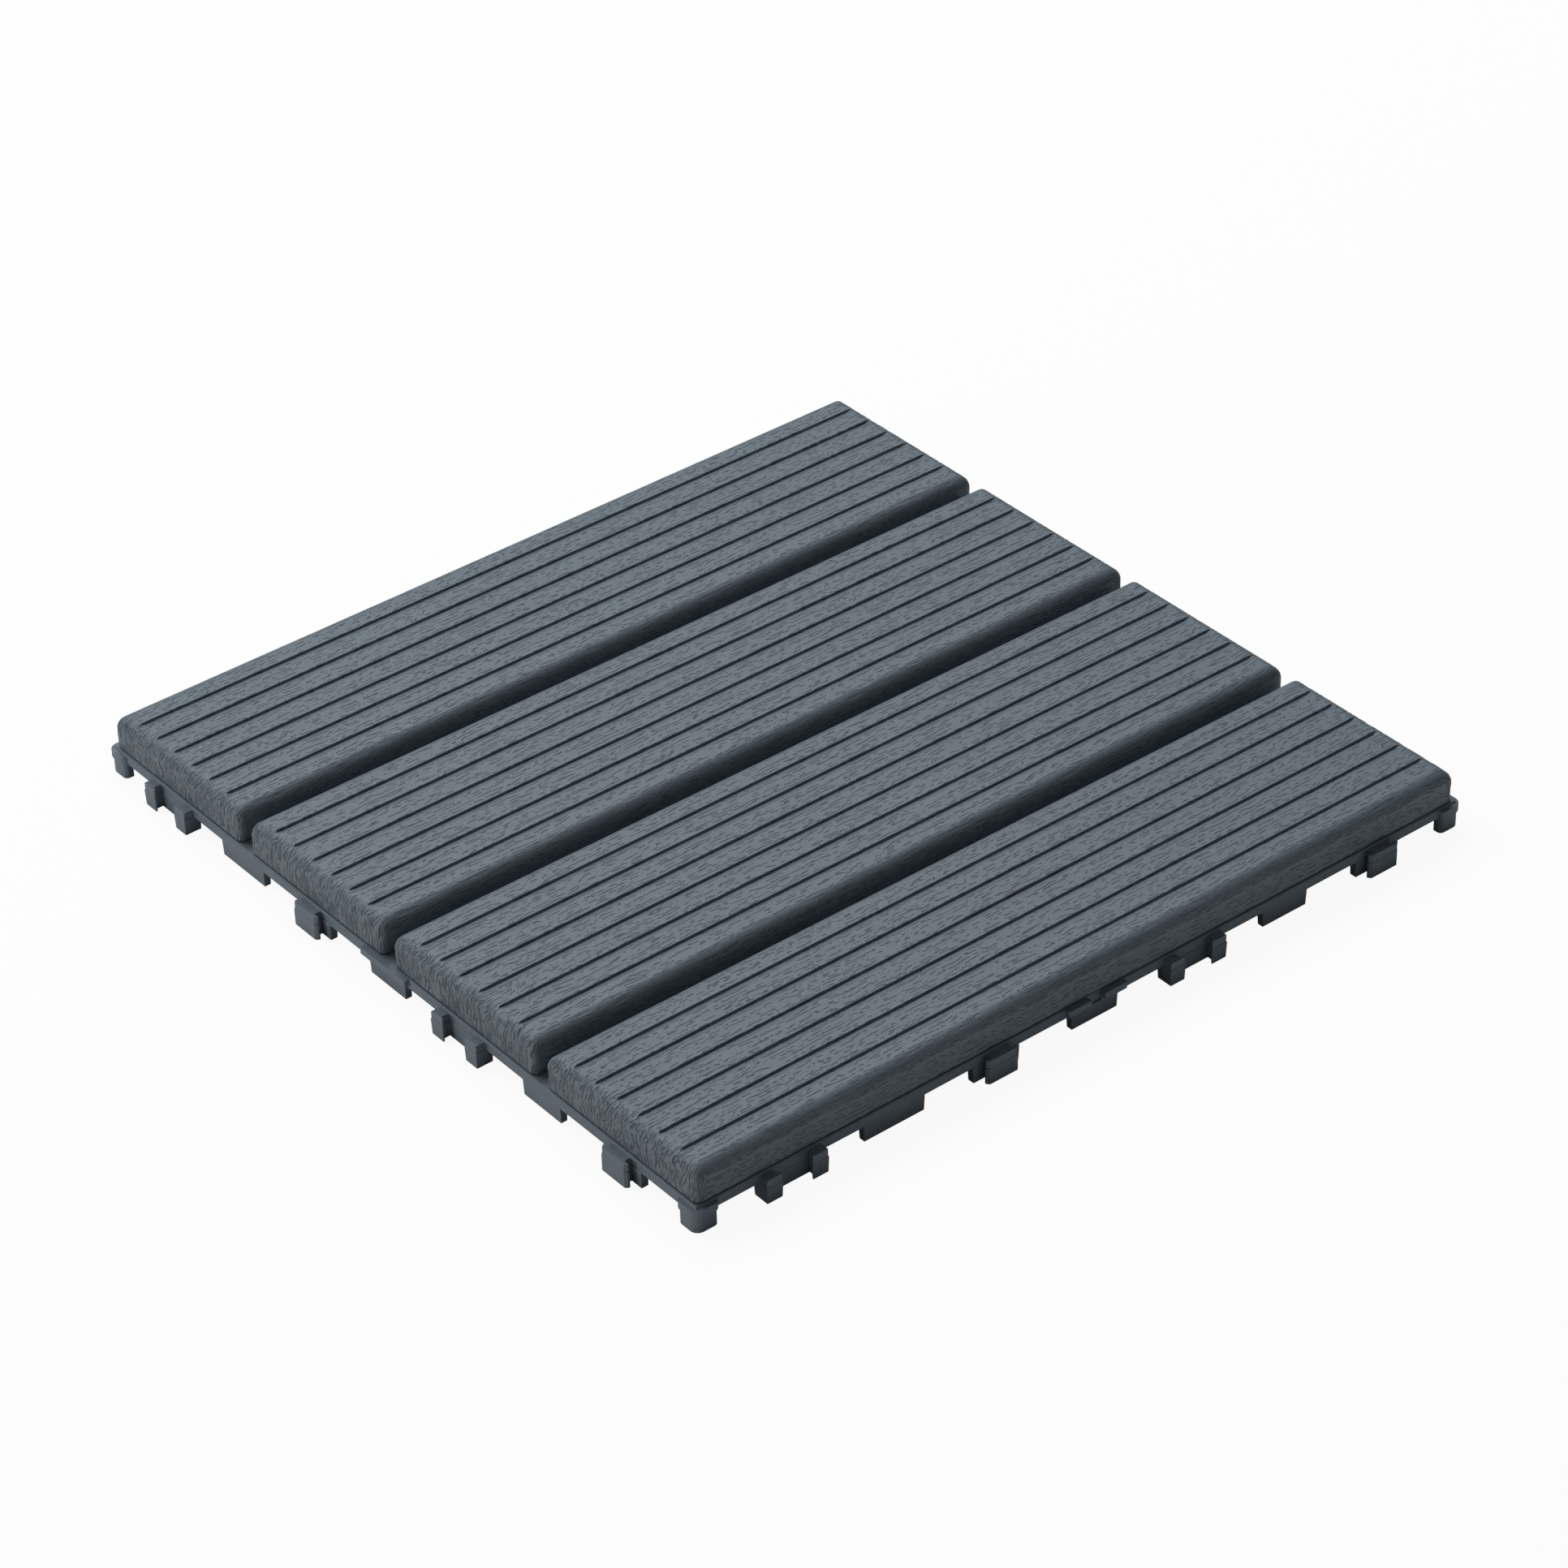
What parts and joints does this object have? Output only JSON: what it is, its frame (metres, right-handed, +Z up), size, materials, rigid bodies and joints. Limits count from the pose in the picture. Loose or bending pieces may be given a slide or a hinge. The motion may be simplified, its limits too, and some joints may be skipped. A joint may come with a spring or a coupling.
{
  "type": "interlocking deck tile",
  "caption": "Square outdoor floor tile: grooved, wood-grained hollow slats snapped onto a ribbed base whose rim has T-tabs and hooked sockets that lock tiles edge to edge.",
  "frame": {"origin": "centre of the tile's footprint, on the floor that its feet stand on", "axes": "+Z is up, out of the walking face. The slats and their grooves run along X and lie side by side along Y. The -Y and -X sides are the two that the picture shows."},
  "size_m": [0.3028, 0.3028, 0.0204],
  "materials": {
    "base_plastic": "moulded, matt, slate grey with a fine speckle",
    "slat_plastic": "moulded, matt slate grey with embossed wood grain along the slats"
  },
  "bodies": {
    "root": {"base": "base_plastic", "slat_1": "slat_plastic", "slat_2": "slat_plastic", "slat_3": "slat_plastic", "slat_4": "slat_plastic"}
  },
  "joints": []
}
